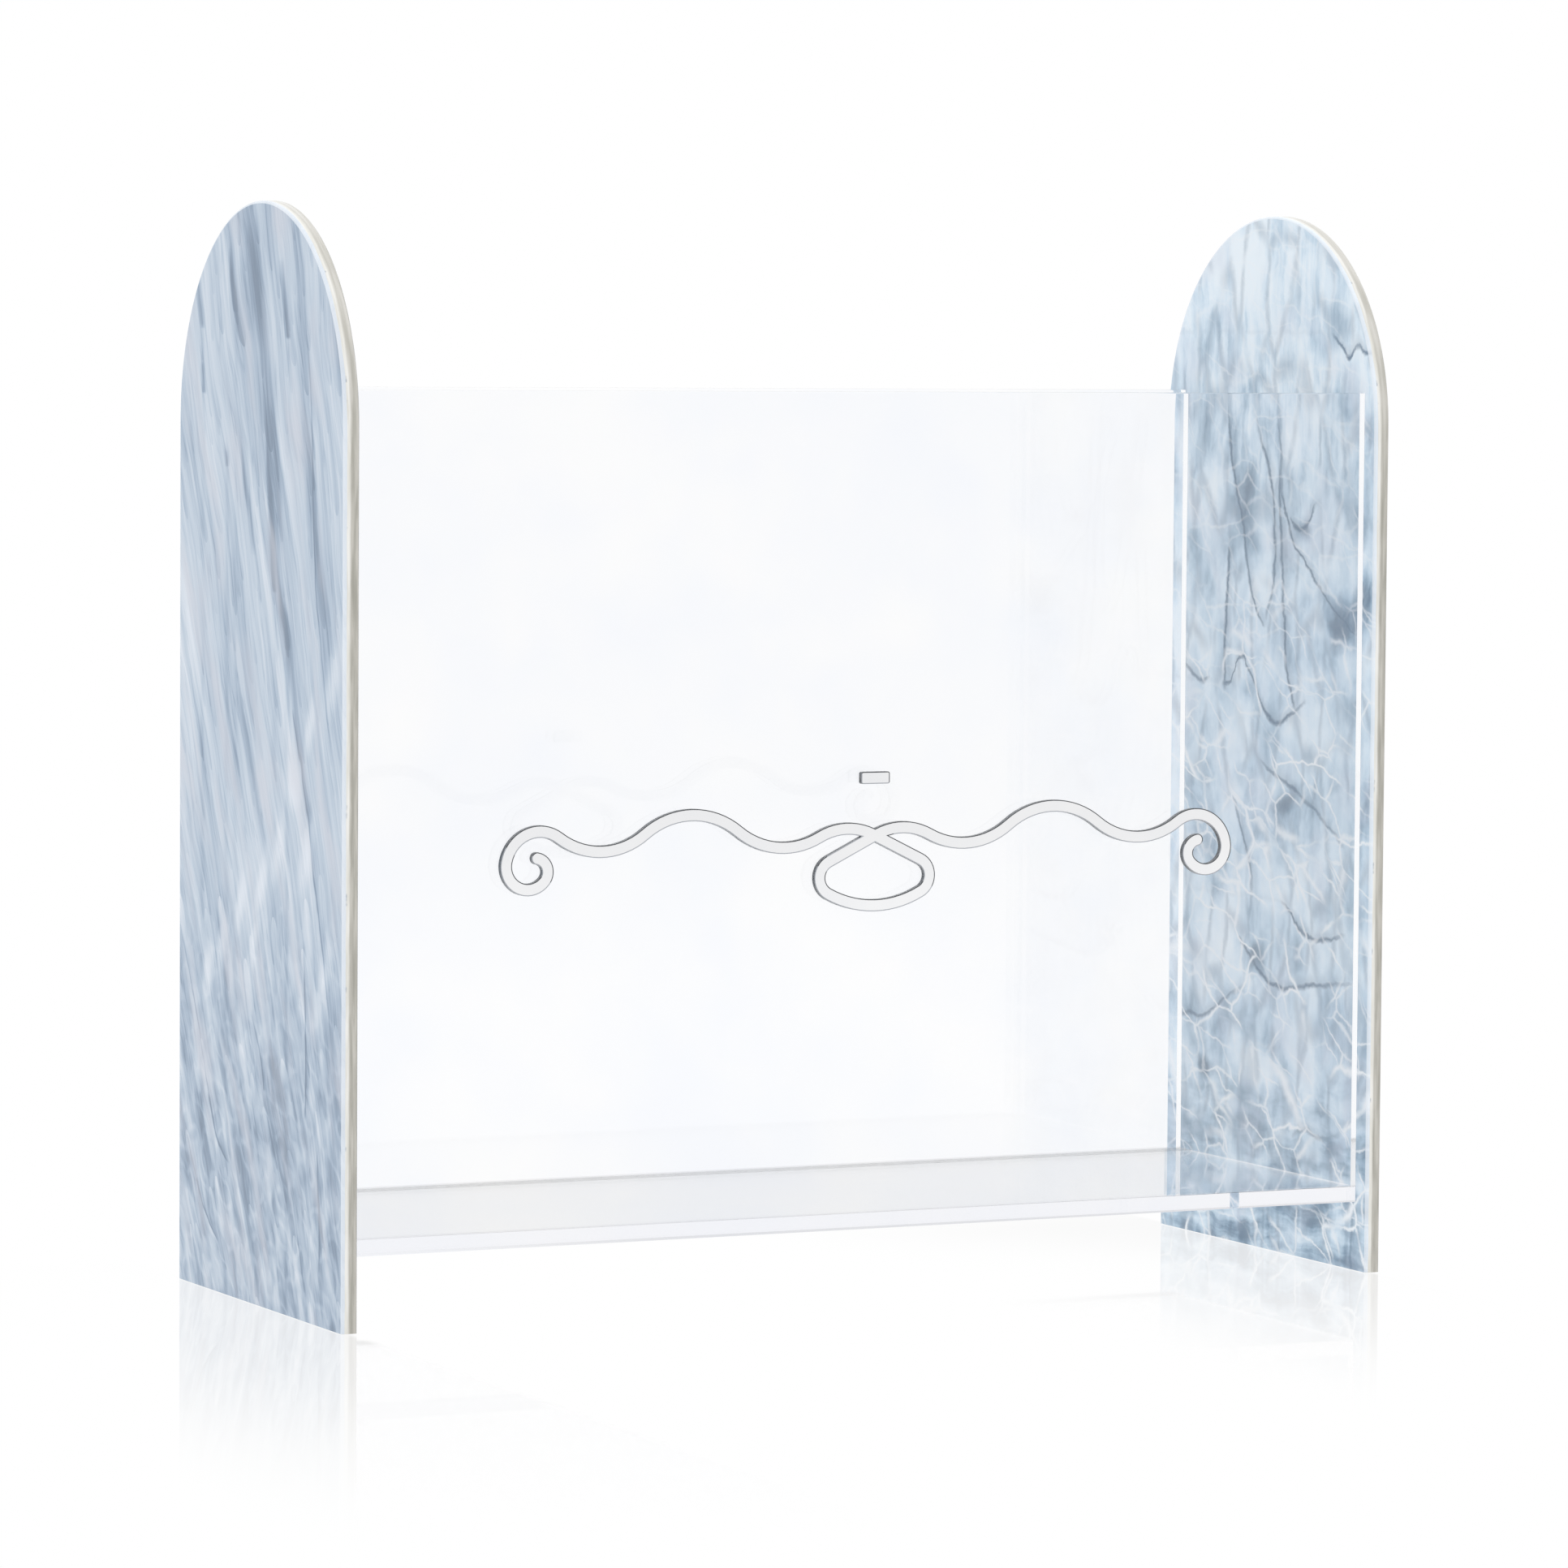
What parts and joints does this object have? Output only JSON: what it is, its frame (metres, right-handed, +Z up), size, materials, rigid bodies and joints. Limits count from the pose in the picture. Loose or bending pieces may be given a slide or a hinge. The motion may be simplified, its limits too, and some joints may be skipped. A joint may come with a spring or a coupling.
{
  "type": "magazine rack",
  "caption": "Clear acrylic tray for magazines held between arched marble-effect acrylic side panels, with a silver mirror flourish on its front.",
  "frame": {"origin": "on the standing surface, under the middle of the rack", "axes": "+X along the rack from the left side panel to the right one, +Y from the front to the back, +Z up"},
  "size_m": [0.422, 0.16, 0.398],
  "materials": {
    "marble_acrylic": "polished",
    "clear_acrylic": "polished",
    "mirror_acrylic": "polished"
  },
  "bodies": {
    "root": {"left_side_panel": "marble_acrylic", "right_side_panel": "marble_acrylic", "floor_panel": "clear_acrylic", "front_panel": "clear_acrylic", "back_panel": "clear_acrylic", "mirror_flourish": "mirror_acrylic", "mirror_bar": "mirror_acrylic"}
  },
  "joints": []
}
